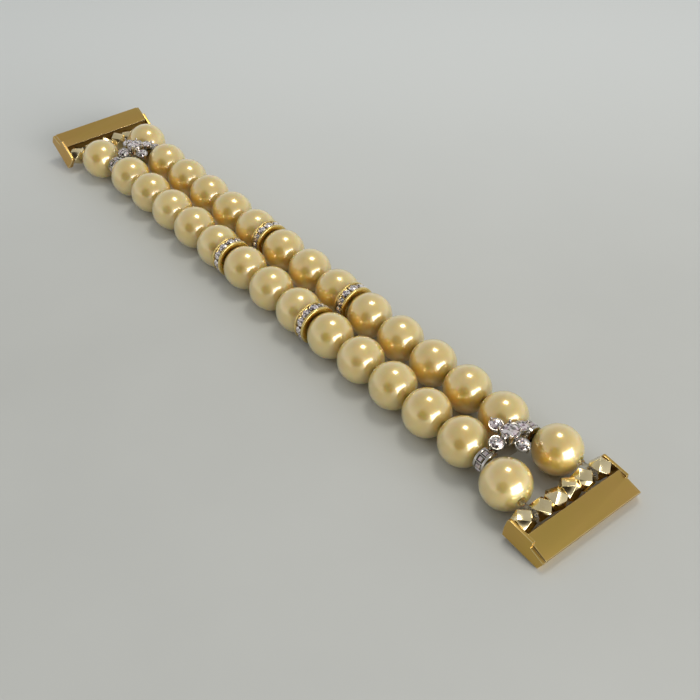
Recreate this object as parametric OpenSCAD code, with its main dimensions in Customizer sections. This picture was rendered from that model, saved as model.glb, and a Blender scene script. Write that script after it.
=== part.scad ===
// Two-strand stretch band of pearls for a watch, lying flat with its show side up. The near bracket rests
// on the table and the far one stands up a little.
// X runs along the band, Y across it and Z up. The origin is on the table, under the middle pearls.
// Row 1 is at the far end, at -X, and row 15 at the near end, at +X. The front strand is at -Y.

/* [Pearls] */
// Diameter of one pearl
pearl_d = 8; // [7.6:0.1:8.6]
// Diameter of the hole drilled through each pearl
pearl_bore_d = 1.5; // [1.4:0.1:1.8]
// Free gap between neighbouring pearls of one strand
pearl_gap = 0.1; // [0.1:0.01:0.16]
// Free gap between the two strands along the middle of the band
strand_gap = 0.7; // [0.4:0.1:1]

/* [Elastic cord] */
// Diameter of the elastic cord
cord_d = 0.7; // [0.6:0.05:0.75]
// Free gap between the ends of two cord stretches, inside the joint between two pearls
cord_end_gap = 0.14; // [0.13:0.01:0.18]

/* [Crystal rondelles] */
// Diameter over the rims of a rondelle
rondelle_d = 7.2; // [6.8:0.1:7.6]
// Thickness of a rondelle over its rims
rondelle_rim_t = 2.4; // [2.3:0.05:2.6]
// Thickness of the web at the middle of a rondelle
rondelle_web_t = 0.6; // [0.5:0.05:0.65]
// Space that a rondelle takes between the two pearls beside it
rondelle_space = 1; // [0.95:0.05:1.2]
// Diameter of the hole through a rondelle
rondelle_bore_d = 1.6; // [1.5:0.1:1.9]
// Depth of the channel that holds the crystals
rondelle_channel_depth = 0.55; // [0.45:0.05:0.6]
// Diameter of one crystal of a rondelle
rondelle_crystal_d = 1.5; // [1.3:0.05:1.5]

/* [Two-hole spacers] */
// Thickness of a spacer where the pearls touch it
spacer_t = 2; // [1.8:0.1:2.4]
// Free gap between a spacer and the pearl on each side of it
spacer_seat_gap = 0.08; // [0.07:0.01:0.12]
// Diameter of the round end of a spacer, around each hole
spacer_end_d = 3.7; // [3.5:0.1:4]
// Diameter of the holes through a spacer
spacer_bore_d = 1.7; // [1.6:0.05:1.8]
// How far each hole of a spacer lies outside the line of its strand
spacer_flare = 0.15; // [0.1:0.05:0.3]
// Diameter of the large crystal in the middle of the flower
flower_centre_d = 2.7; // [2.5:0.1:2.8]
// Diameter of the four crystals round it
flower_petal_d = 2; // [1.8:0.1:2.1]
// Distance from the middle of the flower to the middle of a petal crystal
flower_petal_reach = 2.7; // [2.6:0.05:2.8]
// Height of the flower's base above the tops of the round ends
flower_lift = 0.25; // [0.2:0.05:0.5]
// Height of a petal's cup
flower_cup_h = 0.75; // [0.7:0.05:0.9]
// Height of the large crystal above the four round it
flower_dome = 0.9; // [0.8:0.05:1.1]

/* [Pins and gold beads] */
// Diameter of the pin that joins a bracket to the strands
pin_d = 1; // [0.9:0.05:1.1]
// Diameter of the thin tips of the pin
pin_tip_d = 0.7; // [0.5:0.05:0.75]
// Depth of the blind hole in each ear that takes a tip
pin_hole_depth = 0.4; // [0.35:0.05:0.45]
// Running clearance round the pin and its tips and beside the cord loops, on each side
pin_clear = 0.05; // [0.03:0.01:0.06]
// Size of a gold bead across its flat faces
bead_d = 2.9; // [2.7:0.1:3]
// Size of a gold bead across the faces of its cut corners, as a share of its size
bead_corner_cut = 1.12; // [1.08:0.01:1.15]
// Free gap between neighbouring beads
bead_gap = 0.05; // [0.04:0.01:0.08]
// Free gap between a bead's corners and the pearls, and between the end beads and the ears
bead_clear = 0.1; // [0.08:0.01:0.2]
// Free gap between the turning beads and the hollow of the bracket
bead_hollow_gap = 0.4; // [0.3:0.05:0.5]

/* [Brackets] */
// Thickness of a bracket's ear at its foot
ear_t = 1.05; // [0.9:0.05:1.2]
// Thickness of an ear at its top, thinned by its slanted outer face
ear_top_t = 0.5; // [0.4:0.05:0.7]
// Height of the top of an ear above the pin
ear_rise = 1; // [0.9:0.05:1.2]
// Depth of the flat underside below the pin
ear_drop = 2.35; // [2.2:0.05:2.5]
// Distance from the pin to the nose of an ear, on the pearls' side
ear_nose = 1.25; // [1.1:0.05:1.4]
// Radius of the two round corners of the nose
ear_corner_r = 0.6; // [0.4:0.05:0.8]
// Length of the raised part of an ear, from the pin to its square end
ear_len = 3.7; // [3.4:0.1:4]
// Bevel along the bottom outer edge and down the nose of an ear
ear_bevel = 0.25; // [0.15:0.05:0.35]
// Distance from the pin to the thin outer edge
bracket_reach = 6.4; // [6.2:0.1:7]
// Distance from the pin to the end of the flat underside
bracket_foot = 5.8; // [5.4:0.1:5.9]
// Step from the top of an ear down to the plate, at its inner edge
plate_step = 0.1; // [0.05:0.05:0.3]
// Step from the top of an ear down to the side ledge beyond its square end
ledge_step = 1.1; // [0.9:0.1:1.3]
// Depth of the top of the outer edge below the pin
edge_drop = 0.4; // [0.3:0.05:0.6]
// Thickness of the outer edge
edge_t = 0.5; // [0.4:0.05:0.7]
// Angle at which the far bracket stands up from the table, held by its tight cord loops
far_lift = 33; // [0:1:45]

/* [Hidden] */
ROWS = 15;
MID_ROW = (ROWS + 1) / 2;
// Rows from the middle to the last one, to the one before a spacer and to the one before a rondelle
LAST = ROWS - MID_ROW;
BEFORE_SPACER = LAST - 1;
BEFORE_RONDELLE = 1;
CRYSTALS_PER_RONDELLE = 12;
INNER_BEADS = 4;
BAGUETTES = 4;
function two(i) = i < 10 ? str("0", i) : str(i);
$fn = 48;
over = 1;

pearl_r = pearl_d / 2;
cord_z = pearl_r;
pitch = pearl_d + pearl_gap;
strand_y = (pearl_d + strand_gap) / 2;
rondelle_extra = rondelle_space - pearl_gap;
spacer_extra = spacer_t + 2 * spacer_seat_gap - pearl_gap;
// Distance from the middle row to the row that is k rows away
function row_x(k) = k * pitch + (k > BEFORE_RONDELLE ? rondelle_extra : 0)
    + (k > BEFORE_SPACER ? spacer_extra : 0);
rondelle_x = row_x(BEFORE_RONDELLE) + pearl_r + rondelle_space / 2;
spacer_x = row_x(BEFORE_SPACER) + pearl_r + spacer_seat_gap + spacer_t / 2;
spacer_hole_y = strand_y + spacer_flare;

// Half the diagonal of a cut-corner bead, seen along the pin
bead_cut_reach = bead_corner_cut * bead_d * sqrt(3) / 2;
bead_corner_r = norm([bead_d / 2, bead_cut_reach - bead_d / 2]);
bead_pitch = bead_d + bead_gap;
bead_bore_d = pin_d + 2 * pin_clear;

// The cord comes level out of the last pearl and meets the top of its loop round the pin
loop_r = pin_d / 2 + pin_clear + cord_d / 2;
pin_z = cord_z - loop_r;
pin_x = row_x(LAST) + sqrt(pow(pearl_r + bead_corner_r + bead_clear, 2) - loop_r * loop_r);
loop_slot = cord_d + 2 * pin_clear;
loop_turn = 270;
loop_y = INNER_BEADS / 2 * bead_pitch + loop_slot / 2;
outer_bead_y = loop_y + loop_slot / 2 + bead_d / 2;
inner_w = 2 * (outer_bead_y + bead_d / 2 + bead_clear);

// Past the spacer the strands spread, in a straight line from its holes to the knee, where the cord
// leaves the last pearl through a knot
knee_x = row_x(LAST) + pearl_r;
knot_d = cord_d + 0.3;
taut_cord_d = cord_d - 0.06;
cord_overlap = 0.05;
spread = (loop_y - spacer_hole_y) / (knee_x - spacer_x);
spread_angle = atan(spread);
function pearl_y(k) = k == LAST ? spacer_hole_y + spread * (row_x(LAST) - spacer_x) : strand_y;

// Places a near-end piece, or its mirror image at the far end
module at_end(side) { mirror([side < 0 ? 1 : 0, 0, 0]) children(); }

// Turns a shape from the Z axis to the X axis, or to the Y axis
module along_x() { rotate([0, 90, 0]) children(); }
module along_y() { rotate([-90, 0, 0]) children(); }

// A pearl with its drilled hole, which points along the strand
module pearl(i, strand) {
    k = abs(i - MID_ROW);
    color("wheat") at_end(i - MID_ROW) translate([row_x(k), strand * pearl_y(k), cord_z])
        rotate([0, 0, k == LAST ? strand * spread_angle : 0]) along_x() difference() {
            sphere(r = pearl_r);
            cylinder(d = pearl_bore_d, h = pearl_d + 2 * over, center = true);
        }
}

// How far a stretch of cord runs from its pearl towards the joint between rows k and k + 1
function cord_reach(k) = k == BEFORE_RONDELLE ? pearl_r + 0.35 * rondelle_space
    : k == BEFORE_SPACER ? pearl_r + spacer_seat_gap + 0.4 * spacer_t
    : pearl_r + (pearl_gap - cord_end_gap) / 2;

// The stretches of the two cords that one row of pearls carries
module cord_link(i) {
    k = abs(i - MID_ROW);
    back = cord_reach(k - 1);
    color("ivory") at_end(i - MID_ROW) for (strand = [-1, 1])
        if (k == LAST) end_cord(strand, row_x(k) - back);
        else translate([row_x(k) - back, strand * strand_y, cord_z])
            along_x() cylinder(d = cord_d, h = back + cord_reach(k));
}

// The last stretch of a cord: through the end pearl, past its knot and round the pin
module end_cord(strand, start) {
    run = (knee_x - start) / cos(spread_angle);
    translate([knee_x, strand * loop_y, cord_z]) {
        rotate([0, 0, strand * spread_angle]) translate([-run, 0, 0])
            along_x() cylinder(d = cord_d, h = run);
        along_x() sphere(d = knot_d);
        along_x() cylinder(d = taut_cord_d, h = pin_x - knee_x + cord_overlap);
    }
    translate([pin_x, strand * loop_y, pin_z]) along_y() rotate([0, 0, -90])
        rotate_extrude(angle = loop_turn) translate([loop_r, 0]) circle(d = cord_d, $fn = 32);
}

dish_r = pearl_r + 1;
rondelle_r = rondelle_d / 2;
channel_r = rondelle_r - rondelle_channel_depth;
crystal_seat = 0.02;

// A crystal ring: two rims, a channel between them and a dished face towards each pearl
module rondelle_ring() {
    along_x() difference() {
        cylinder(r = rondelle_r, h = rondelle_rim_t, center = true);
        cylinder(d = rondelle_bore_d, h = rondelle_rim_t + 2 * over, center = true);
        for (m = [-1, 1]) translate([0, 0, m * (rondelle_web_t / 2 + dish_r)]) sphere(r = dish_r);
        difference() {
            cylinder(r = rondelle_r + over, h = rondelle_crystal_d + 2 * crystal_seat, center = true);
            cylinder(r = channel_r, h = rondelle_rim_t, center = true);
        }
    }
}

module rondelles(side) {
    color("goldenrod") at_end(side) for (strand = [-1, 1])
        translate([rondelle_x, strand * strand_y, cord_z]) rondelle_ring();
}

// A flat-backed crystal: a straight girdle under a bevelled crown
module flat_crystal(d, h) {
    cylinder(d = d, h = h * 0.45);
    translate([0, 0, h * 0.45]) cylinder(d1 = d, d2 = d * 0.58, h = h * 0.55);
}

module rondelle_crystals(side) {
    color("white") at_end(side) for (strand = [-1, 1]) for (n = [0:CRYSTALS_PER_RONDELLE - 1])
        translate([rondelle_x, strand * strand_y, cord_z])
            rotate([n * 360 / CRYSTALS_PER_RONDELLE, 0, 0]) translate([0, 0, channel_r])
                flat_crystal(rondelle_crystal_d, rondelle_channel_depth, $fn = 24);
}

flower_z = cord_z + spacer_end_d / 2 + flower_lift;
petal_z = flower_z + flower_cup_h;
centre_z = petal_z + flower_dome;
cup_wall = 0.2;
petal_cup_r = flower_petal_d / 2 + cup_wall;
centre_cup_r = flower_centre_d / 2 + cup_wall;
cup_taper = 0.2;
claw_r = 0.22;
petal_claw_r = 0.18;
claw_rise = 0.35;
arm_w = 1;
arm_h = 0.4;
arm_up = 0.05;
web_t = spacer_t - 0.4;
web_drop = 1.2;
web_step = 0.15;
baguette_w = 1.2;
baguette_h = 0.6;
baguette_step = 36;
baguette_first = 10;
baguette_seat_r = spacer_end_d / 2 - 0.5;
baguette_len = 2 * baguette_seat_r * tan(baguette_step / 2) - 0.06;

// A round-cut crystal with its table up and its girdle at z = 0
module round_crystal(d, grow = 0) {
    rotate_extrude($fn = 32) polygon([[0, -d * 0.3 - grow], [d / 2 + grow, -grow],
        [d / 2 + grow, d * 0.05], [d * 0.3, d * 0.2], [0, d * 0.2]]);
}

// The four petals lie along and across the band
module at_petals() {
    for (a = [0:90:270]) rotate([0, 0, a]) translate([flower_petal_reach, 0, 0]) children();
}

// The baguettes run round the outer side of each round end
module at_baguettes() {
    for (strand = [-1, 1]) for (n = [0:BAGUETTES - 1])
        translate([0, strand * spacer_hole_y, cord_z])
            rotate([-strand * (baguette_first + n * baguette_step), 0, 0])
                translate([0, 0, baguette_seat_r]) children();
}

// A straight claw with a round tip
module claw(r, h) {
    cylinder(r = r, h = h, $fn = 16);
    translate([0, 0, h]) sphere(r = r, $fn = 16);
}

module spacer_body() {
    for (strand = [-1, 1]) translate([0, strand * spacer_hole_y, cord_z]) along_x()
        cylinder(d = spacer_end_d, h = spacer_t, center = true);
    translate([-web_t / 2, -spacer_hole_y, cord_z - web_drop])
        cube([web_t, 2 * spacer_hole_y, web_drop + spacer_end_d / 2 - web_step]);
    translate([-web_t / 2, -centre_cup_r, cord_z])
        cube([web_t, 2 * centre_cup_r, flower_z + arm_h / 2 - cord_z]);
    translate([0, 0, flower_z]) {
        at_petals() {
            cylinder(r1 = petal_cup_r - cup_taper, r2 = petal_cup_r, h = flower_cup_h);
            translate([flower_petal_d / 2 + petal_claw_r, 0, 0])
                claw(petal_claw_r, flower_cup_h + claw_rise);
        }
        cylinder(r = centre_cup_r, h = centre_z - flower_z);
        // Two crossing arms carry the petals
        for (a = [0, 90]) rotate([0, 0, a]) translate([0, 0, arm_up + arm_h / 2])
            cube([2 * flower_petal_reach, arm_w, arm_h], center = true);
        // Four claws hold the large crystal, between the petals
        for (a = [45:90:315]) rotate([0, 0, a]) translate([flower_centre_d / 2 + claw_r, 0, 0])
            claw(claw_r, centre_z - flower_z + claw_rise);
    }
}

module spacer(side) {
    color("silver") at_end(side) translate([spacer_x, 0, 0]) difference() {
        spacer_body();
        for (strand = [-1, 1]) translate([0, strand * spacer_hole_y, cord_z]) along_x()
            cylinder(d = spacer_bore_d, h = spacer_t + 2 * over, center = true);
        translate([0, 0, petal_z]) at_petals() round_crystal(flower_petal_d, grow = crystal_seat);
        translate([0, 0, centre_z]) round_crystal(flower_centre_d, grow = crystal_seat);
        at_baguettes() translate([-baguette_w / 2 - crystal_seat, -baguette_len * 0.62, 0])
            cube([baguette_w + 2 * crystal_seat, baguette_len * 1.24, 2 * baguette_h]);
    }
}

// A baguette crystal with a bevelled top
module baguette() {
    rotate([90, 0, 0]) linear_extrude(baguette_len, center = true)
        polygon([[-baguette_w / 2, 0], [baguette_w / 2, 0], [baguette_w / 2, baguette_h / 2],
            [baguette_w / 4, baguette_h], [-baguette_w / 4, baguette_h],
            [-baguette_w / 2, baguette_h / 2]]);
}

module spacer_crystals(side) {
    color("white") at_end(side) translate([spacer_x, 0, 0]) {
        translate([0, 0, petal_z]) at_petals() round_crystal(flower_petal_d);
        translate([0, 0, centre_z]) round_crystal(flower_centre_d);
        at_baguettes() baguette();
    }
}

// The pin, with a thin tip at each end; its shoulders stand against the ears
module pin(side) {
    color("lightgray") at_end(side) translate([pin_x, 0, pin_z]) along_y() {
        cylinder(d = pin_d, h = inner_w, center = true);
        cylinder(d = pin_tip_d, h = inner_w + 2 * (pin_hole_depth - pin_clear), center = true);
    }
}

// A slab square to one of the long diagonals of a cube
module corner_slab(turn, tilt) {
    rotate([0, 0, turn]) rotate([0, tilt * acos(1 / sqrt(3)), 0])
        cube([4 * bead_d, 4 * bead_d, bead_corner_cut * bead_d], center = true);
}

// A bead: a cube whose eight corners are cut off
module bead() {
    difference() {
        intersection() {
            cube(bead_d, center = true);
            corner_slab(45, 1);
            corner_slab(45, -1);
            corner_slab(135, 1);
            corner_slab(135, -1);
        }
        along_y() cylinder(d = bead_bore_d, h = bead_d + 2 * over, center = true);
    }
}

// Four beads between the two cord loops and one outside each, every one turned a little differently
bead_places = concat([-outer_bead_y],
    [for (n = [0:INNER_BEADS - 1]) (n - (INNER_BEADS - 1) / 2) * bead_pitch], [outer_bead_y]);
bead_turn = 26;

module beads(side) {
    color("gold") at_end(side) for (n = [0:len(bead_places) - 1])
        translate([pin_x, bead_places[n], pin_z]) rotate([0, n * bead_turn, 0]) bead();
}

hollow_r = bead_corner_r + bead_hollow_gap;
// The near bracket leans down until its foot meets the table
rest_lean = asin(pin_z / norm([bracket_foot, ear_drop])) - atan(ear_drop / bracket_foot);
plate_in_z = ear_rise - plate_step;
plate_in_x = sqrt(hollow_r * hollow_r - plate_in_z * plate_in_z);
plate_low = -edge_drop - edge_t;
ledge_z = ear_rise - ledge_step;
ledge_end_z = -edge_drop - edge_t / 2;

// The outline of one side of a bracket, from y = 0 to its outer face: ear, ledge and foot
module side_outline() {
    straight_x = ear_corner_r - ear_nose;
    rotate([90, 0, 0]) translate([0, 0, -ear_t]) linear_extrude(ear_t)
        polygon([[straight_x, -ear_drop], [bracket_foot, -ear_drop], [bracket_reach, plate_low],
            [bracket_reach, ledge_end_z], [ear_len, ledge_z], [ear_len, ear_rise],
            [straight_x, ear_rise]]);
    translate([-ear_nose, 0, ear_corner_r - ear_drop])
        cube([ear_nose, ear_t, ear_rise + ear_drop - 2 * ear_corner_r]);
    for (z = [ear_corner_r - ear_drop, ear_rise - ear_corner_r]) translate([straight_x, 0, z])
        along_y() cylinder(r = ear_corner_r, h = ear_t);
}

// One side of a bracket, with its outer edges bevelled
module bracket_side() {
    intersection() {
        side_outline();
        rotate([90, 0, 90]) translate([0, 0, -ear_nose - over])
            linear_extrude(ear_nose + bracket_reach + 2 * over)
                polygon([[0, -ear_drop], [ear_t - ear_bevel, -ear_drop], [ear_t, ear_bevel - ear_drop],
                    [ear_top_t, ear_rise], [0, ear_rise]]);
        translate([0, 0, -ear_drop - over]) linear_extrude(ear_drop + ear_rise + 2 * over)
            polygon([[-ear_nose, 0], [bracket_reach, 0], [bracket_reach, ear_t],
                [ear_bevel - ear_nose, ear_t], [-ear_nose, ear_t - ear_bevel]]);
    }
}

// The plate between the ears: a thin outer edge, a flat foot and a hollow for the beads
module bracket_plate() {
    foot_in = 0.2;
    difference() {
        rotate([90, 0, 0]) linear_extrude(inner_w + ear_top_t, center = true)
            polygon([[0, plate_in_z], [plate_in_x, plate_in_z], [bracket_reach, -edge_drop],
                [bracket_reach, plate_low], [bracket_foot - foot_in, foot_in - ear_drop],
                [0, foot_in - ear_drop]]);
        along_y() cylinder(r = hollow_r, h = inner_w + 2 * over, center = true);
    }
}

module bracket(side) {
    tip_bore_d = pin_tip_d + 2 * pin_clear;
    lean = side < 0 ? -far_lift : rest_lean;
    color("darkgoldenrod") at_end(side) translate([pin_x, 0, pin_z]) rotate([0, lean, 0])
        difference() {
            union() {
                bracket_plate();
                for (m = [0, 1]) mirror([0, m, 0]) translate([0, inner_w / 2, 0]) bracket_side();
            }
            along_y() cylinder(d = tip_bore_d, h = inner_w + 2 * pin_hole_depth, center = true);
        }
}

for (i = [1:ROWS]) {
    pearl(i, -1);
    pearl(i, 1);
    cord_link(i);
}
rondelles(-1);  // rondelles_far
rondelles(1);  // rondelles_near
rondelle_crystals(-1);  // rondelle_crystals_far
rondelle_crystals(1);  // rondelle_crystals_near
spacer(-1);  // spacer_far
spacer(1);  // spacer_near
spacer_crystals(-1);  // spacer_crystals_far
spacer_crystals(1);  // spacer_crystals_near
pin(-1);  // pin_far
pin(1);  // pin_near
beads(-1);  // beads_far
beads(1);  // beads_near
bracket(-1);  // bracket_far
bracket(1);  // bracket_near
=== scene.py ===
"""Looks of the pearl watch band: pearls, gold beads, brackets, crystal rondelles and flower spacers."""
import math

import bmesh
import bpy
from mathutils import Matrix, Vector


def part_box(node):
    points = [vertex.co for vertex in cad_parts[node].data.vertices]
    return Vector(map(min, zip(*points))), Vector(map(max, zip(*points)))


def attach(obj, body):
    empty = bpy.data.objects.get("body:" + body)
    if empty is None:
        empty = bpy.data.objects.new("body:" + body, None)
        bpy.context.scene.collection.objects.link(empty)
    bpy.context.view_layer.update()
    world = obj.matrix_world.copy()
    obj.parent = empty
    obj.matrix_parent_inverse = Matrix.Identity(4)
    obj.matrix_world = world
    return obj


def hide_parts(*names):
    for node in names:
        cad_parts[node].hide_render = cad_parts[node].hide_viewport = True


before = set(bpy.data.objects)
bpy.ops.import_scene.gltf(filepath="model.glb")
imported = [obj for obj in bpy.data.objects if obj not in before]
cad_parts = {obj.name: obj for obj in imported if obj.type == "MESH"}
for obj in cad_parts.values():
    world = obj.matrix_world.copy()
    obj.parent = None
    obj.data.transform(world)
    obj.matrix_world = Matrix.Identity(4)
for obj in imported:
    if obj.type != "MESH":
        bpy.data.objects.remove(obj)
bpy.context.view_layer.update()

MM = 0.001
ENDS = ("far", "near")
# Each strand lies on the -Y or the +Y side of the band's middle
STRANDS = {"front": -1, "back": 1}

# Sizes of the CAD part, in millimetres and degrees
ROWS = 15
PEARL_R = 4.0
PEARL_BORE_R = 0.75
STRAND_GAP = 0.7
STRAND_Y = PEARL_R + STRAND_GAP / 2
CORD_Z = PEARL_R
END_SPREAD = 11.2
RONDELLE_R = 3.6
RONDELLE_RIM_T = 2.4
RONDELLE_WEB_T = 0.6
RONDELLE_BORE_R = 0.8
RONDELLE_DISH_CLEAR = 1.0
RONDELLE_DISH_R = PEARL_R + RONDELLE_DISH_CLEAR
RONDELLE_CHANNEL_DEPTH = 0.55
RONDELLE_CHANNEL_W = 1.54
CRYSTALS_PER_RONDELLE = 12
SPACER_END_R = 1.85
SPACER_FLARE = 0.15
SPACER_HOLE_Y = STRAND_Y + SPACER_FLARE
FLOWER_LIFT = 0.25
FLOWER_DOME = 0.9
PETALS = 4
PETAL_D = 2.0
PETAL_REACH = 2.7
PETAL_CUP_H = 0.75
PETAL_Z = CORD_Z + SPACER_END_R + FLOWER_LIFT + PETAL_CUP_H
CENTRE_D = 2.7
CENTRE_Z = PETAL_Z + FLOWER_DOME
BAGUETTES = 4
BAGUETTE_FIRST = 10.0
BAGUETTE_STEP = 36.0
BAGUETTE_SINK = 0.5
BAGUETTE_SEAT_R = SPACER_END_R - BAGUETTE_SINK
BAGUETTE_W = 1.2
BAGUETTE_H = 0.6
BAGUETTE_LEN = 0.817

# Forms that only the scene has, in millimetres and degrees
PEARL_RIM = 0.12
PEARL_STEPS = 56
PEARL_SEGMENTS = 72
# How far along the way to the gap between the strands the painted reflection of the other strand's gold
# grows to its full strength
PAINTED_BOUNCE_DEPTH = 3.8
RONDELLE_EDGE_R = 0.2
RONDELLE_LIP_R = 0.08
RONDELLE_STONE_D = 1.66
RONDELLE_STONE_SINK = 0.32
RONDELLE_STEPS = 12
RONDELLE_SEGMENTS = 96
BRACKET_ROUNDING = 0.2
SPACER_ROUNDING = 0.06
BEAD_ROUNDING = 0.2
SHARP_EDGE = 28.0
FLAT_EDGE = 1.0
# Each petal's direction and angle of lean, and the room round its cup in which the mesh leans with it
PETAL_LEANS = ((-10.0, 14.0), (90.0, 6.0), (-30.0, 8.0), (-34.0, 17.0))
PETAL_ROOM_R = 1.55
PETAL_ROOM_BELOW = 0.05

# Cut of a round stone: each ring's radius and its height over the girdle, as shares of the diameter
STONE_SIDES = 8
TABLE_RING = (0.29, 0.19)
STAR_RING = (0.15, 0.175)
CROWN_RING = (0.405, 0.125)
GIRDLE_RING = (0.5, 0.03)
BELT_RING = (0.5, 0.0)
TABLE_MIDDLE = 0.195
CULET = -0.28

# Cut of a baguette: each level's width, length and height, as shares of the whole
BAGUETTE_LEVELS = ((1.0, 1.0, 0.0), (1.0, 1.0, 0.45), (0.75, 0.85, 0.8), (0.5, 0.72, 1.0))

# Painted light of the facets that don't vary, from 0 for dark to 1 for bright; the undersides take
# painted shade
GIRDLE_PAINTED_LIGHT = 0.6
UNDERSIDE_PAINTED_SHADE = 0.3
BAGUETTE_TABLE_PAINTED_LIGHT = 0.5

# Fineness of the metals' grain, and their least and greatest roughness, as shares of the one given
GRAIN_SCALE = 4000.0
ROUGH_LEAST = 0.85
ROUGH_MOST = 1.2

# The photograph's camera, found from the outlines of the pearls
PHOTO_PX = 700
FOCAL_PX = 1048.7
SENSOR_W = 36.0
CAMERA_AZIMUTH = -39.13
CAMERA_ELEVATION = 40.46
CAMERA_DISTANCE = 181.2
CAMERA_TARGET = (18.48, -1.19, 0.0)
CAMERA_CLIP = 10.0

# The table's paper, in millimetres. Painted light whitens it from one place to another on the way to its
# far edge, and it whitens from one distance to another towards the walls
FLOOR_HALF = 2500.0
FLOOR_Z = -0.02
PAINTED_LIGHT_WAY = (-0.776, 0.631, 0.0)
PAINTED_LIGHT_FADE = (-30.0, 130.0)
WALL_FADE = (300.0, 1600.0)

# Azimuth and elevation of the place where someone stands beside the table
ONLOOKER = (-64.0, 27.0)


def direction(azimuth, elevation):
    """The unit vector at an azimuth, counted from +X to +Y, and an elevation, in degrees."""
    az, el = math.radians(azimuth), math.radians(elevation)
    return Vector((math.cos(az) * math.cos(el), math.sin(az) * math.cos(el), math.sin(el)))


def at(x, y, z):
    """A move, in millimetres."""
    return Matrix.Translation((x, y, z))


def turned(degrees, axis):
    """A turn round an axis."""
    return Matrix.Rotation(math.radians(degrees), 4, axis)


def node_tree(owner):
    """Empties the node tree of a material or world, and returns makers of nodes and of links."""
    owner.use_nodes = True
    tree = owner.node_tree
    tree.nodes.clear()

    def add(kind, values=(), **settings):
        node = tree.nodes.new(kind)
        for key, value in settings.items():
            setattr(node, key, value)
        for key, value in dict(values).items():
            node.inputs[key].default_value = value
        return node

    def link(source, socket, target, entry):
        tree.links.new(source.outputs[socket], target.inputs[entry])

    return add, link


def rgb(red, green, blue):
    """A colour given as 0-255 screen values, made linear."""
    def linear(v):
        v /= 255.0
        return v / 12.92 if v <= 0.04045 else ((v + 0.055) / 1.055) ** 2.4
    return (linear(red), linear(green), linear(blue), 1.0)


def ramp(add, stops):
    """A colour ramp through (position, colour) stops."""
    node = add("ShaderNodeValToRGB")
    elements = node.color_ramp.elements
    while len(elements) < len(stops):
        elements.new(0.5)
    for element, (position, colour) in zip(elements, stops):
        element.position = position
        element.color = colour
    return node


def mix(add, link, factor, low, high, blend="MIX"):
    """Mixes two colours, each a value or a (node, output) pair, by a number or a (node, output) pair."""
    node = add("ShaderNodeMix", data_type="RGBA", blend_type=blend)
    if isinstance(factor, float):
        node.inputs["Factor"].default_value = factor
    else:
        link(*factor, node, "Factor")
    for entry, source in (("A", low), ("B", high)):
        if len(source) == 4:
            node.inputs[entry].default_value = source
        else:
            link(*source, node, entry)
    return (node, "Result")


def set_surface(add, link, shader):
    """Makes the shader a material's surface."""
    surface = add("ShaderNodeOutputMaterial")
    link(shader, "BSDF", surface, "Surface")


def pearl_material():
    """Champagne pearl: a clouded golden body that glows, under a clear, strongly mirroring coat. Its
    colour holds a painted reflection, deeper gold low on the side that faces the other strand, and a
    painted sheen, paler towards the outline.
    """
    mat = bpy.data.materials.new("pearl_coat")
    add, link = node_tree(mat)
    coords = add("ShaderNodeTexCoord")
    tint = add("ShaderNodeAttribute", attribute_type="OBJECT", attribute_name="tint")
    clouds = add("ShaderNodeTexNoise", {"Scale": 240.0, "Detail": 3.0, "Roughness": 0.55},
                 noise_dimensions="4D")
    link(coords, "Object", clouds, "Vector")
    link(tint, "Fac", clouds, "W")
    body = ramp(add, [(0.32, rgb(216, 188, 106)), (0.68, rgb(226, 200, 128))])
    link(clouds, "Fac", body, "Fac")
    # Painted reflection: the body is a deeper gold low down on the side that faces the other strand,
    # standing in for the golden light that the other strand's pearls throw back onto it
    inner = add("ShaderNodeAttribute", attribute_type="OBJECT", attribute_name="painted_bounce_side")
    inward = add("ShaderNodeVectorMath", operation="DOT_PRODUCT")
    link(coords, "Object", inward, 0)
    link(inner, "Vector", inward, 1)
    painted_bounce_share = add("ShaderNodeMapRange", {"From Min": 0.0, "From Max": PAINTED_BOUNCE_DEPTH * MM,
                                      "To Max": 0.95})
    link(inward, "Value", painted_bounce_share, "Value")
    golden = mix(add, link, (painted_bounce_share, "Result"), (body, "Color"), rgb(250, 200, 78))
    # Painted sheen: the colour turns paler towards the pearl's outline, standing in for the pale room
    # that the pearl mirrors there
    facing = add("ShaderNodeLayerWeight", {"Blend": 0.35})
    tone = mix(add, link, (facing, "Facing"), golden, rgb(222, 207, 146))
    shader = add("ShaderNodeBsdfPrincipled", {
        "Metallic": 0.42, "Roughness": 0.3, "IOR": 1.55,
        "Subsurface Weight": 1.0, "Subsurface Radius": (1.0, 0.6, 0.14), "Subsurface Scale": 0.0045,
        "Coat Weight": 1.0, "Coat Roughness": 0.12, "Coat IOR": 2.2})
    link(*tone, shader, "Base Color")
    grain = add("ShaderNodeTexNoise", {"Scale": 2400.0, "Detail": 2.0})
    waves = add("ShaderNodeTexNoise", {"Scale": 420.0, "Detail": 1.0})
    link(coords, "Object", grain, "Vector")
    link(coords, "Object", waves, "Vector")
    fine = add("ShaderNodeBump", {"Strength": 0.02, "Distance": 0.0001})
    broad = add("ShaderNodeBump", {"Strength": 0.06, "Distance": 0.0003})
    link(grain, "Fac", fine, "Height")
    link(waves, "Fac", broad, "Height")
    link(fine, "Normal", broad, "Normal")
    link(broad, "Normal", shader, "Normal")
    link(broad, "Normal", shader, "Coat Normal")
    set_surface(add, link, shader)
    return mat


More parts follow.
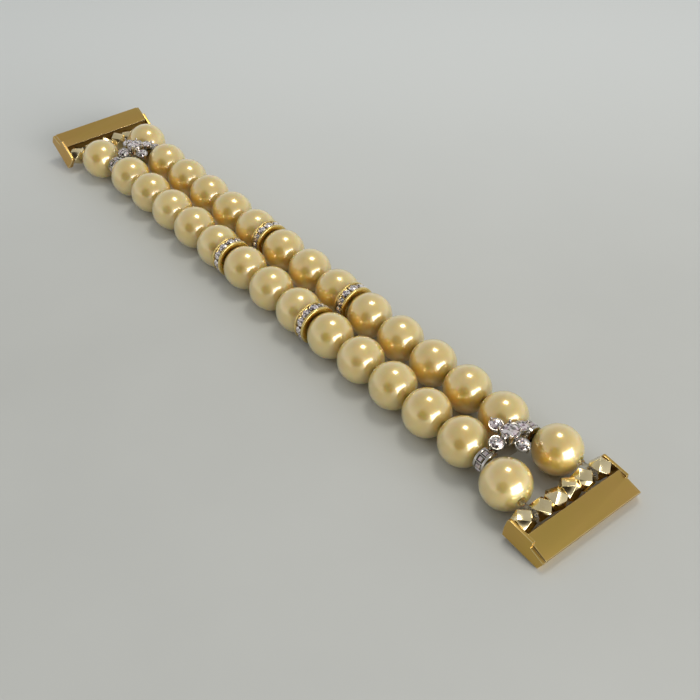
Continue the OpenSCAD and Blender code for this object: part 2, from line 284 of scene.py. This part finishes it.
def metal_material(name, dark, light, roughness, grain, scale=400.0, stretch=(1.0, 1.0, 1.0)):
    """Metal in two tones of soft patches, with uneven gloss and a fine grain along the polish."""
    mat = bpy.data.materials.new(name)
    add, link = node_tree(mat)
    coords = add("ShaderNodeTexCoord")
    patches = add("ShaderNodeTexNoise", {"Scale": scale, "Detail": 4.0, "Roughness": 0.6})
    link(coords, "Object", patches, "Vector")
    tone = ramp(add, [(0.35, dark), (0.65, light)])
    link(patches, "Fac", tone, "Fac")
    rough = add("ShaderNodeMapRange", {"To Min": roughness * ROUGH_LEAST,
                                       "To Max": roughness * ROUGH_MOST})
    link(patches, "Fac", rough, "Value")
    shader = add("ShaderNodeBsdfPrincipled", {"Metallic": 1.0})
    link(tone, "Color", shader, "Base Color")
    link(rough, "Result", shader, "Roughness")
    along = add("ShaderNodeMapping", {"Scale": tuple(GRAIN_SCALE * v for v in stretch)})
    lines = add("ShaderNodeTexNoise", {"Scale": 1.0, "Detail": 3.0})
    bump = add("ShaderNodeBump", {"Strength": grain, "Distance": 0.00002})
    link(coords, "Object", along, "Vector")
    link(along, "Vector", lines, "Vector")
    link(lines, "Fac", bump, "Height")
    link(bump, "Normal", shader, "Normal")
    set_surface(add, link, shader)
    return mat


def crystal_material():
    """Foil-backed cut glass: each facet mirrors with a painted tone of its own, from painted shade to
    painted light, and painted glints are flecked over them, under a clear gloss.
    """
    mat = bpy.data.materials.new("cut_crystal")
    add, link = node_tree(mat)
    coords = add("ShaderNodeTexCoord")
    facet = add("ShaderNodeAttribute", attribute_type="GEOMETRY", attribute_name="painted_facet_light")
    # Painted glints, flecked over the facets' painted light
    painted_glints = add("ShaderNodeTexVoronoi", {"Scale": 2600.0})
    link(coords, "Object", painted_glints, "Vector")
    tone = ramp(add, [(0.0, rgb(76, 66, 62)), (0.35, rgb(156, 144, 142)), (0.6, rgb(230, 215, 213)),
                      (1.0, rgb(255, 250, 247))])
    link(facet, "Fac", tone, "Fac")
    painted_sparkle = mix(add, link, 0.22, (tone, "Color"), (painted_glints, "Color"), "SOFT_LIGHT")
    shader = add("ShaderNodeBsdfPrincipled", {"Metallic": 0.8, "Roughness": 0.05, "Coat Weight": 1.0,
                                             "Coat Roughness": 0.02})
    link(*painted_sparkle, shader, "Base Color")
    set_surface(add, link, shader)
    return mat


def cord_material():
    """Clear elastic, with a cream cast and a slightly uneven surface."""
    mat = bpy.data.materials.new("elastic_cord")
    add, link = node_tree(mat)
    coords = add("ShaderNodeTexCoord")
    uneven = add("ShaderNodeTexNoise", {"Scale": 3000.0, "Detail": 3.0})
    link(coords, "Object", uneven, "Vector")
    tone = ramp(add, [(0.3, rgb(214, 206, 184)), (0.7, rgb(238, 234, 220))])
    link(uneven, "Fac", tone, "Fac")
    bump = add("ShaderNodeBump", {"Strength": 0.1, "Distance": 0.00005})
    link(uneven, "Fac", bump, "Height")
    shader = add("ShaderNodeBsdfPrincipled", {"Roughness": 0.12, "Transmission Weight": 0.94, "IOR": 1.2})
    link(tone, "Color", shader, "Base Color")
    link(bump, "Normal", shader, "Normal")
    set_surface(add, link, shader)
    return mat


PEARL = pearl_material()
BRACKET_GOLD = metal_material("bracket_gold", rgb(200, 168, 88), rgb(204, 164, 94), roughness=0.3,
                              grain=0.12, scale=70.0, stretch=(1.0, 0.06, 1.0))
BEAD_GOLD = metal_material("bead_gold", rgb(230, 211, 160), rgb(240, 223, 180), roughness=0.16,
                           grain=0.04)
# Polished edges: their lower roughness is real polish, their lighter colour is a painted highlight
EDGE_GOLD_PAINTED_HIGHLIGHT = metal_material("polished_edges_painted_highlight", rgb(246, 228, 170), rgb(252, 238, 190), roughness=0.12,
                           grain=0.03)
RONDELLE_GOLD = metal_material("rondelle_gold", rgb(226, 200, 124), rgb(236, 212, 142), roughness=0.26,
                               grain=0.02)
SILVER = metal_material("spacer_silver", rgb(186, 181, 172), rgb(210, 206, 198), roughness=0.12,
                        grain=0.06)
STEEL = metal_material("pin_steel", rgb(150, 148, 142), rgb(172, 170, 164), roughness=0.3, grain=0.1)
CRYSTAL = crystal_material()
CORD = cord_material()


def new_object(name, data):
    """Makes an object and puts it in the scene."""
    obj = bpy.data.objects.new(name, data)
    bpy.context.scene.collection.objects.link(obj)
    return obj


def mesh_data(name, mesh):
    """Turns a bmesh in millimetres into a mesh in metres."""
    data = bpy.data.meshes.new(name)
    mesh.to_mesh(data)
    mesh.free()
    data.transform(Matrix.Scale(MM, 4))
    return data


def piece(name, mesh, material, body, node, place=Matrix.Identity(4), smooth=True):
    """Makes an object of a bmesh, which stands for a CAD node and rides on the node's body."""
    bmesh.ops.recalc_face_normals(mesh, faces=mesh.faces)
    data = mesh_data(name, mesh)
    data.materials.append(material)
    if smooth:
        data.shade_smooth()
    obj = new_object(name, data)
    obj.matrix_world = place
    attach(obj, body)
    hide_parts(node)
    return obj


def centre_of(node):
    """The middle of a CAD node's box, in metres."""
    low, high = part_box(node)
    return (low + high) / 2


def lathe(mesh, profile, segments, place=Matrix.Identity(4)):
    """Spins a closed profile of (along X, radius) points round the X axis into the bmesh."""
    rings = []
    for n in range(segments):
        turn = math.tau * n / segments
        rings.append([mesh.verts.new(place @ Vector((x, r * math.cos(turn), r * math.sin(turn))))
                      for x, r in profile])
    count = len(profile)
    for a, b in zip(rings, rings[1:] + rings[:1]):
        for i in range(count):
            j = (i + 1) % count
            mesh.faces.new((a[i], b[i], b[j], a[j]))


def arc(cx, cr, radius, start, end, steps):
    """Points of a circular arc in the profile plane, from one angle to another in degrees."""
    angles = [math.radians(start + (end - start) * n / steps) for n in range(steps + 1)]
    return [(cx + radius * math.cos(t), cr + radius * math.sin(t)) for t in angles]


def pearl_profile():
    """Half outline of a drilled pearl, with a softened rim at each end of its hole."""
    edge = math.degrees(math.asin((PEARL_BORE_R + PEARL_RIM) / PEARL_R))
    mouth = PEARL_R * math.cos(math.radians(edge)) - PEARL_RIM
    outside = arc(0, 0, PEARL_R, edge, 180 - edge, PEARL_STEPS)
    return outside + [(-mouth, PEARL_BORE_R), (mouth, PEARL_BORE_R)]


def cloud_shift(row, strand):
    """Where a pearl's clouds lie in the noise, well apart for neighbouring pearls."""
    return (row * 7 + (3 if strand == "front" else 0)) % 11 * 1.7


def add_pearls():
    """One pearl per node; the end rows point along their spreading strands."""
    profile = pearl_profile()
    end_rows = {1: -1, ROWS: 1}
    for strand, side in STRANDS.items():
        for row in range(1, ROWS + 1):
            node = f"pearl_{strand}_{row:02d}"
            mesh = bmesh.new()
            lathe(mesh, profile, PEARL_SEGMENTS)
            spread = turned(end_rows.get(row, 0) * side * END_SPREAD, "Z")
            obj = piece(f"{node}_coat", mesh, PEARL, f"row_{row:02d}", node,
                        Matrix.Translation(centre_of(node)) @ spread)
            obj["tint"] = cloud_shift(row, strand)
            # The way down and inwards, to the gap between the strands, along which the painted reflection
            # of the other strand's gold grows
            obj["painted_bounce_side"] = (0.0, -0.8 * side, -0.6)


def softened(name, node, material, body, width, segments=3, reshape=None, edge=None):
    """A copy of a CAD solid with its sharp edges rounded, and, where edge is a material, the rounding
    polished and painted lighter as a highlight.
    """
    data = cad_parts[node].data.copy()
    data.materials.clear()
    mesh = bmesh.new()
    mesh.from_mesh(data)
    bpy.data.meshes.remove(data)
    bmesh.ops.remove_doubles(mesh, verts=mesh.verts, dist=0.001 * MM)
    bmesh.ops.dissolve_limit(mesh, angle_limit=math.radians(FLAT_EDGE), verts=mesh.verts,
                             edges=mesh.edges)
    bmesh.ops.scale(mesh, vec=(1 / MM,) * 3, verts=mesh.verts)
    if reshape:
        reshape(mesh)
    obj = piece(name, mesh, material, body, node)
    rounding = obj.modifiers.new("rounding", "BEVEL")
    rounding.width = width * MM
    rounding.segments = segments
    rounding.limit_method = "ANGLE"
    rounding.angle_limit = math.radians(SHARP_EDGE)
    rounding.harden_normals = True
    # The faces of the rounding take the second material: a real polish, with a painted highlight in its
    # lighter colour
    if edge:
        obj.data.materials.append(edge)
        rounding.material = 1
    return obj


def petal_middle(x, n):
    """The middle of the cup of petal n; x is the spacer's place."""
    turn = math.tau * n / PETALS
    along, across = PETAL_REACH * math.cos(turn), PETAL_REACH * math.sin(turn)
    return Vector((x + along, across, PETAL_Z - PETAL_CUP_H / 2))


def petal_lean(x, n):
    """The move that leans petal n about the middle of its cup."""
    towards, angle = PETAL_LEANS[n]
    middle = petal_middle(x, n)
    axis = Vector((-math.sin(math.radians(towards)), math.cos(math.radians(towards)), 0))
    return Matrix.Translation(middle) @ turned(angle, axis) @ Matrix.Translation(-middle)


def lean_petals(mesh, x):
    """Leans the petal cups of a spacer's mesh, with their claws."""
    foot_z = PETAL_Z - PETAL_CUP_H
    for n in range(PETALS):
        middle = petal_middle(x, n)
        lean = petal_lean(x, n)
        for vert in mesh.verts:
            apart = math.hypot(vert.co.x - middle.x, vert.co.y - middle.y)
            if apart < PETAL_ROOM_R and vert.co.z > foot_z - PETAL_ROOM_BELOW:
                vert.co = lean @ vert.co


def add_metal():
    """Brackets and beads with polished edges painted lighter as highlights, and spacers with leaning
    petals.
    """
    for end in ENDS:
        softened(f"bracket_{end}_plated", f"bracket_{end}", BRACKET_GOLD, f"bracket_set_{end}",
                 BRACKET_ROUNDING, edge=EDGE_GOLD_PAINTED_HIGHLIGHT)
        softened(f"beads_{end}_cut", f"beads_{end}", BEAD_GOLD, f"bead_row_{end}",
                 BEAD_ROUNDING, segments=1, edge=EDGE_GOLD_PAINTED_HIGHLIGHT)
        x = centre_of(f"spacer_{end}").x / MM
        softened(f"spacer_{end}_cast", f"spacer_{end}", SILVER, f"spacer_set_{end}",
                 SPACER_ROUNDING, reshape=lambda mesh, x=x: lean_petals(mesh, x))


def new_stones():
    """A bmesh whose faces carry the painted light and shade that the crystal material reads."""
    mesh = bmesh.new()
    mesh.faces.layers.float.new("painted_facet_light")
    return mesh


def cut_face(mesh, corners, tone):
    """A facet with its own painted light, from 0 for painted shade to 1 for bright."""
    mesh.faces.new(corners)[mesh.faces.layers.float["painted_facet_light"]] = tone


def one_tone(n, count):
    """Tone n of a number of evenly spaced tones from 0 to 1, which come round again."""
    return n % count / (count - 1)


def brilliant(mesh, d, place, seed):
    """A round stone with its girdle at z = 0: a table that shows the facets below it, stars, kites,
    girdle facets and a pavilion. The seed sets where its facets of painted shade and painted light fall."""
    def ring(count, shares, offset=0.0):
        radius, height = (share * d for share in shares)
        turns = [math.tau * (n + offset) / count for n in range(count)]
        return [mesh.verts.new(place @ Vector((radius * math.cos(t), radius * math.sin(t), height)))
                for t in turns]

    def tone(n):
        return one_tone(n * 5 + seed * 3, 8)

    corners = 2 * STONE_SIDES
    table = ring(STONE_SIDES, TABLE_RING)
    star = ring(STONE_SIDES, STAR_RING, 0.5)
    middle = mesh.verts.new(place @ Vector((0, 0, TABLE_MIDDLE * d)))
    crown = ring(STONE_SIDES, CROWN_RING, 0.5)
    girdle = ring(corners, GIRDLE_RING)
    belt = ring(corners, BELT_RING)
    culet = mesh.verts.new(place @ Vector((0, 0, CULET * d)))
    # Three facets below the table, a star with brighter painted light, a kite and two at the girdle on
    # each side
    for n in range(STONE_SIDES):
        m = (n + 1) % STONE_SIDES
        cut_face(mesh, (table[n], star[n], table[m]), tone(n + 3))
        cut_face(mesh, (table[n], star[n - 1], star[n]), tone(2 * n + 1))
        cut_face(mesh, (star[n - 1], middle, star[n]), tone(3 * n))
        cut_face(mesh, (table[n], table[m], crown[n]), tone(n + 1) * 0.6 + 0.35)
        cut_face(mesh, (table[n], crown[n - 1], girdle[2 * n], crown[n]), tone(3 * n + 2))
        cut_face(mesh, (crown[n], girdle[2 * n], girdle[2 * n + 1]), tone(n + 5))
        cut_face(mesh, (crown[n], girdle[2 * n + 1], girdle[2 * m]), tone(2 * n))
    for n in range(corners):
        m = (n + 1) % corners
        cut_face(mesh, (girdle[n], belt[n], belt[m], girdle[m]), GIRDLE_PAINTED_LIGHT)
        cut_face(mesh, (belt[n], culet, belt[m]), UNDERSIDE_PAINTED_SHADE)


def baguette(mesh, place, seed):
    """A step-cut bar: girdle, one bevelled step and a narrow table, all four sides sloped."""
    rings = []
    for width, length, height in BAGUETTE_LEVELS:
        half_w, half_l, z = width * BAGUETTE_W / 2, length * BAGUETTE_LEN / 2, height * BAGUETTE_H
        rings.append([mesh.verts.new(place @ Vector((sx * half_w, sy * half_l, z)))
                      for sx, sy in ((-1, -1), (1, -1), (1, 1), (-1, 1))])
    cut_face(mesh, list(reversed(rings[0])), UNDERSIDE_PAINTED_SHADE)
    cut_face(mesh, rings[-1], BAGUETTE_TABLE_PAINTED_LIGHT)
    for level, (low, high) in enumerate(zip(rings, rings[1:])):
        for n in range(4):
            m = (n + 1) % 4
            cut_face(mesh, (low[n], low[m], high[m], high[n]), one_tone(n * 3 + level * 2 + seed, 6))


def rondelle_profile():
    """Half outline of a crystal ring: dished faces, rounded rims and the channel between them."""
    def dish(r):
        return RONDELLE_WEB_T / 2 + RONDELLE_DISH_R - math.sqrt(RONDELLE_DISH_R ** 2 - r ** 2)

    rim_x = RONDELLE_RIM_T / 2
    rim_in = math.sqrt(RONDELLE_DISH_R ** 2 - (RONDELLE_DISH_R - rim_x + RONDELLE_WEB_T / 2) ** 2)
    wall_x = RONDELLE_CHANNEL_W / 2
    dish_w = rim_in - RONDELLE_BORE_R
    dish_radii = [RONDELLE_BORE_R + dish_w * n / RONDELLE_STEPS for n in range(RONDELLE_STEPS + 1)]
    half = [(dish(r), r) for r in dish_radii]
    half += arc(rim_x - RONDELLE_EDGE_R, RONDELLE_R - RONDELLE_EDGE_R, RONDELLE_EDGE_R, 0, 90, 5)
    half += arc(wall_x + RONDELLE_LIP_R, RONDELLE_R - RONDELLE_LIP_R, RONDELLE_LIP_R, 90, 180, 3)
    half += [(wall_x, RONDELLE_R - RONDELLE_CHANNEL_DEPTH)]
    return half + [(-x, r) for x, r in reversed(half)]


def add_rondelles():
    """Two gold rings at each place, with round stones set in their channels."""
    profile = rondelle_profile()
    seat = at(0, 0, RONDELLE_R - RONDELLE_STONE_SINK)
    for end in ENDS:
        x = centre_of(f"rondelles_{end}").x / MM
        rings, stones = bmesh.new(), new_stones()
        for side in STRANDS.values():
            ring_place = at(x, side * STRAND_Y, CORD_Z)
            lathe(rings, profile, RONDELLE_SEGMENTS, ring_place)
            for n in range(CRYSTALS_PER_RONDELLE):
                turn = turned(360 * n / CRYSTALS_PER_RONDELLE, "X")
                brilliant(stones, RONDELLE_STONE_D, ring_place @ turn @ seat, n + side)
        body = f"rondelle_pair_{end}"
        piece(f"rondelles_{end}_turned", rings, RONDELLE_GOLD, body, f"rondelles_{end}")
        piece(f"rondelle_stones_{end}", stones, CRYSTAL, body, f"rondelle_crystals_{end}",
              smooth=False)


def add_spacer_stones():
    """Flower of five round stones, and step-cut bars round the outer side of each hole."""
    for end in ENDS:
        x = centre_of(f"spacer_{end}").x / MM
        stones = new_stones()
        brilliant(stones, CENTRE_D, at(x, 0, CENTRE_Z), 1)
        for n in range(PETALS):
            seat = at(x, 0, PETAL_Z) @ turned(360 * n / PETALS, "Z") @ at(PETAL_REACH, 0, 0)
            brilliant(stones, PETAL_D, petal_lean(x, n) @ seat, n + 2)
        for side in STRANDS.values():
            hole = at(x, side * SPACER_HOLE_Y, CORD_Z)
            for n in range(BAGUETTES):
                turn = turned(-side * (BAGUETTE_FIRST + n * BAGUETTE_STEP), "X")
                baguette(stones, hole @ turn @ at(0, 0, BAGUETTE_SEAT_R), n)
        piece(f"spacer_stones_{end}", stones, CRYSTAL, f"spacer_set_{end}", f"spacer_crystals_{end}",
              smooth=False)


def dress_cad_nodes():
    """Gives the cords and pins, which show as the CAD solids that they are, their full materials."""
    for name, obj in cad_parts.items():
        for start, material in (("cord_link", CORD), ("pin_", STEEL)):
            if name.startswith(start):
                for entry in obj.material_slots:
                    entry.material = material


def fade(add, link, measure, start, end):
    """A share that rises smoothly from 0 to 1 while a node's measure goes from start to end."""
    share = add("ShaderNodeMapRange", {"From Min": start * MM, "From Max": end * MM},
                interpolation_type="SMOOTHSTEP")
    link(measure, "Value", share, "Value")
    return (share, "Result")


def paper_material():
    """Pale, faintly mottled paper, with a painted pool of light towards the table's far edge."""
    mat = bpy.data.materials.new("floor_paper")
    add, link = node_tree(mat)
    coords = add("ShaderNodeTexCoord")
    mottle = add("ShaderNodeTexNoise", {"Scale": 30.0, "Detail": 4.0})
    tone = ramp(add, [(0.3, rgb(195, 197, 192)), (0.7, rgb(199, 201, 196))])
    link(coords, "Object", mottle, "Vector")
    link(mottle, "Fac", tone, "Fac")
    # A painted pool of light: the paper is a little whiter towards the table's far edge
    along = add("ShaderNodeVectorMath", operation="DOT_PRODUCT")
    along.inputs[1].default_value = PAINTED_LIGHT_WAY
    link(coords, "Object", along, 0)
    near = mix(add, link, fade(add, link, along, *PAINTED_LIGHT_FADE), (tone, "Color"), rgb(222, 226, 224))
    # It fades to white towards the walls, so that the room has no dark edge
    distance = add("ShaderNodeVectorMath", operation="LENGTH")
    link(coords, "Object", distance, 0)
    paper = mix(add, link, fade(add, link, distance, *WALL_FADE), near, rgb(250, 251, 252))
    shader = add("ShaderNodeBsdfPrincipled", {"Roughness": 0.6, "Specular IOR Level": 0.3})
    link(*paper, shader, "Base Color")
    set_surface(add, link, shader)
    return mat


def add_floor():
    """A wide sheet of paper, just under the band."""
    mesh = bmesh.new()
    mesh.faces.new([mesh.verts.new((sx * FLOOR_HALF, sy * FLOOR_HALF, FLOOR_Z))
                    for sx, sy in ((-1, -1), (1, -1), (1, 1), (-1, 1))])
    data = mesh_data("floor", mesh)
    data.materials.append(paper_material())
    new_object("floor", data)


def add_lamp(name, azimuth, elevation, distance, size, power, colour):
    """A soft box, of a width and a height, that shines on the camera's target from a direction."""
    lamp = bpy.data.lights.new(name, "AREA")
    lamp.shape = "RECTANGLE"
    lamp.size, lamp.size_y = (side * MM for side in size)
    lamp.energy = power
    lamp.color = colour
    obj = new_object(name, lamp)
    towards = direction(azimuth, elevation)
    obj.location = Vector(CAMERA_TARGET) * MM + towards * (distance * MM)
    obj.rotation_mode = "QUATERNION"
    obj.rotation_quaternion = towards.to_track_quat("Z", "Y")


def add_room():
    """A pale room, with a dim patch where someone stands beside the table."""
    world = bpy.data.worlds.new("room")
    bpy.context.scene.world = world
    add, link = node_tree(world)
    coords = add("ShaderNodeTexCoord")
    onlooker = add("ShaderNodeVectorMath", operation="DOT_PRODUCT")
    onlooker.inputs[1].default_value = direction(*ONLOOKER)
    link(coords, "Generated", onlooker, 0)
    shade = ramp(add, [(0.86, rgb(255, 255, 255)), (0.94, rgb(88, 82, 76)), (1.0, rgb(64, 60, 56))])
    link(onlooker, "Value", shade, "Fac")
    # The walls are brighter than the ceiling
    height = add("ShaderNodeSeparateXYZ")
    link(coords, "Generated", height, "Vector")
    walls = ramp(add, [(0.0, rgb(236, 238, 239)), (0.45, rgb(198, 199, 200)), (0.8, rgb(174, 175, 176))])
    link(height, "Z", walls, "Fac")
    room = mix(add, link, 1.0, (walls, "Color"), (shade, "Color"), "MULTIPLY")
    # Behind the table, the camera sees a plain pale backdrop that goes on from the paper's tone
    rays = add("ShaderNodeLightPath")
    backdrop = ramp(add, [(0.0, rgb(180, 182, 182)), (0.12, rgb(204, 206, 206)),
                          (0.5, rgb(220, 222, 222))])
    link(height, "Z", backdrop, "Fac")
    shown = mix(add, link, (rays, "Is Camera Ray"), room, (backdrop, "Color"))
    background = add("ShaderNodeBackground", {"Strength": 1.03})
    link(*shown, background, "Color")
    surface = add("ShaderNodeOutputWorld")
    link(background, "Background", surface, "Surface")


def add_light():
    """The lamp over the table, the window beside it, and the room round them."""
    add_lamp("ceiling_lamp", azimuth=108.0, elevation=73.3, distance=340.0, size=(88.0, 88.0),
             power=0.21, colour=(1.0, 0.94, 0.84))
    add_lamp("window", azimuth=0.0, elevation=17.0, distance=800.0, size=(660.0, 460.0),
             power=5.2, colour=(1.0, 0.97, 0.98))
    add_room()


def add_camera():
    """The camera of the photograph, which looks at its target on the table."""
    data = bpy.data.cameras.new("camera")
    data.sensor_width = SENSOR_W
    data.lens = SENSOR_W * FOCAL_PX / PHOTO_PX
    data.clip_start = CAMERA_CLIP * MM
    obj = new_object("camera", data)
    back = direction(CAMERA_AZIMUTH, CAMERA_ELEVATION)
    obj.location = (Vector(CAMERA_TARGET) + back * CAMERA_DISTANCE) * MM
    obj.rotation_mode = "QUATERNION"
    obj.rotation_quaternion = (-back).to_track_quat("-Z", "Y")
    bpy.context.scene.camera = obj


add_pearls()
add_metal()
add_rondelles()
add_spacer_stones()
dress_cad_nodes()
add_floor()
add_light()
add_camera()
bpy.context.scene.view_settings.view_transform = "Standard"
